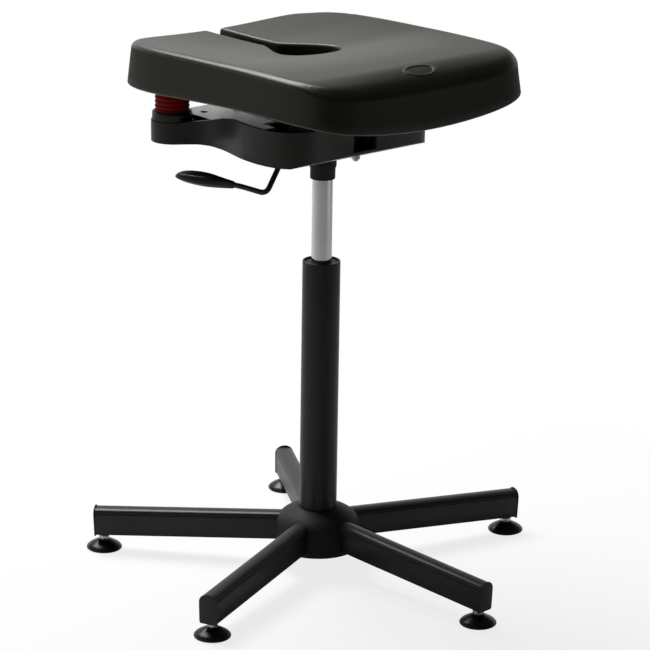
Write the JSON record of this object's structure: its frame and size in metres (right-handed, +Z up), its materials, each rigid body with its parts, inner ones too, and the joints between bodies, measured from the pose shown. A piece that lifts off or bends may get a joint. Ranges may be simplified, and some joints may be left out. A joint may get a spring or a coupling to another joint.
{
  "type": "perch stool",
  "caption": "Perch stool with a keyhole-slotted moulded foam seat on a sprung tilt mechanism, a gas-spring column with a release lever, and a five-leg base on levelling feet",
  "frame": {"origin": "on the floor, at the centre of the rectangle that the stool covers", "axes": "+Z up; the sitter faces -Y, with their left hand at +X; the release lever is on the -X side"},
  "size_m": [0.6036, 0.5894, 0.7148],
  "materials": {
    "powder_coat": "black powder coat, semi-gloss",
    "cast_black": "cast hub, black powder coat",
    "moulded_black": "moulded black plastic, fine texture",
    "foot_black": "moulded black plastic, smooth",
    "foam": "moulded integral-skin foam, black, fine matte skin",
    "board": "seat board, painted black",
    "chrome": "bright chrome plate",
    "zinc": "zinc-plated sheet steel",
    "steel": "bright steel",
    "red_rubber": "ribbed rubber, red",
    "grey_plastic": "moulded grey plastic"
  },
  "bodies": {
    "base": {"hub": "cast_black", "column_tube": "powder_coat", "guide_bushing": "grey_plastic", "tube_foot_plate": "steel", "thrust_bearing": "steel", "bump_stop": "moulded_black", "rod_clip": "steel", "leg_1": "powder_coat", "leg_2": "powder_coat", "leg_3": "powder_coat", "leg_4": "powder_coat", "leg_5": "powder_coat", "leg_cap_1": "moulded_black", "leg_cap_2": "moulded_black", "leg_cap_3": "moulded_black", "leg_cap_4": "moulded_black", "leg_cap_5": "moulded_black"},
    "foot_1": {"foot_pad_1": "foot_black", "foot_stud_1": "zinc"},
    "foot_2": {"foot_pad_2": "foot_black", "foot_stud_2": "zinc"},
    "foot_3": {"foot_pad_3": "foot_black", "foot_stud_3": "zinc"},
    "foot_4": {"foot_pad_4": "foot_black", "foot_stud_4": "zinc"},
    "foot_5": {"foot_pad_5": "foot_black", "foot_stud_5": "zinc"},
    "spindle": {"piston_rod": "chrome", "piston": "steel"},
    "lift": {"gas_cylinder": "chrome", "cone_socket": "powder_coat", "tilt_housing": "moulded_black", "lid_plate": "zinc", "lid_screw_left": "zinc", "lid_screw_right": "zinc", "bearing_block_left": "steel", "bearing_block_right": "steel", "block_screw_left": "zinc", "block_screw_right": "zinc", "tilt_axle": "steel", "stop_bolt": "zinc", "stop_nut": "zinc", "spring_cup_left": "moulded_black", "spring_cup_right": "moulded_black", "seat_spring_left": "red_rubber", "seat_spring_right": "red_rubber", "lever_bracket": "steel", "lever_pin": "steel"},
    "seat": {"seat_pad": "foam", "seat_board": "board", "seat_carrier": "zinc", "carrier_bolt_rear_right": "zinc", "carrier_bolt_rear_left": "zinc", "carrier_bolt_front_right": "zinc", "carrier_bolt_front_left": "zinc"},
    "lever": {"lever_rod": "powder_coat", "lever_handle": "moulded_black"},
    "button": {"release_button": "zinc"}
  },
  "joints": [
    {"name": "foot_1_level", "type": "slide", "parent": "base", "child": "foot_1", "axis": [0, 0, -1], "range_m": [0, 0.012]},
    {"name": "foot_2_level", "type": "slide", "parent": "base", "child": "foot_2", "axis": [0, 0, -1], "range_m": [0, 0.012]},
    {"name": "foot_3_level", "type": "slide", "parent": "base", "child": "foot_3", "axis": [0, 0, -1], "range_m": [0, 0.012]},
    {"name": "foot_4_level", "type": "slide", "parent": "base", "child": "foot_4", "axis": [0, 0, -1], "range_m": [0, 0.012]},
    {"name": "foot_5_level", "type": "slide", "parent": "base", "child": "foot_5", "axis": [0, 0, -1], "range_m": [0, 0.012]},
    {"name": "seat_swivel", "type": "hinge", "parent": "base", "child": "spindle", "pos_m": [-0.00679, 0.02144, 0.04], "axis": [0, 0, 1], "continuous": true},
    {"name": "seat_height", "type": "slide", "parent": "spindle", "child": "lift", "axis": [0, 0, 1], "range_m": [-0.1, 0.14]},
    {"name": "seat_tilt", "type": "hinge", "parent": "lift", "child": "seat", "pos_m": [-0.00679, -0.02256, 0.603], "axis": [1, 0, 0], "range_deg": [-5, 3], "stiffness_Nm_per_rad": 160, "springref_deg": 0.54, "deforming": ["seat_spring_left", "seat_spring_right"]},
    {"name": "lever_lift", "type": "hinge", "parent": "lift", "child": "lever", "pos_m": [-0.04879, 0.02144, 0.5991], "axis": [0, 1, 0], "range_deg": [0, 5.5], "stiffness_Nm_per_rad": 2, "springref_deg": -5.73},
    {"name": "button_press", "type": "slide", "parent": "lift", "child": "button", "axis": [0, 0, -1], "range_m": [0, 0.0045]}
  ],
  "couplings": [
    {"joint": "button_press", "follows": "lever_lift", "m_per_rad": 0.042}
  ]
}
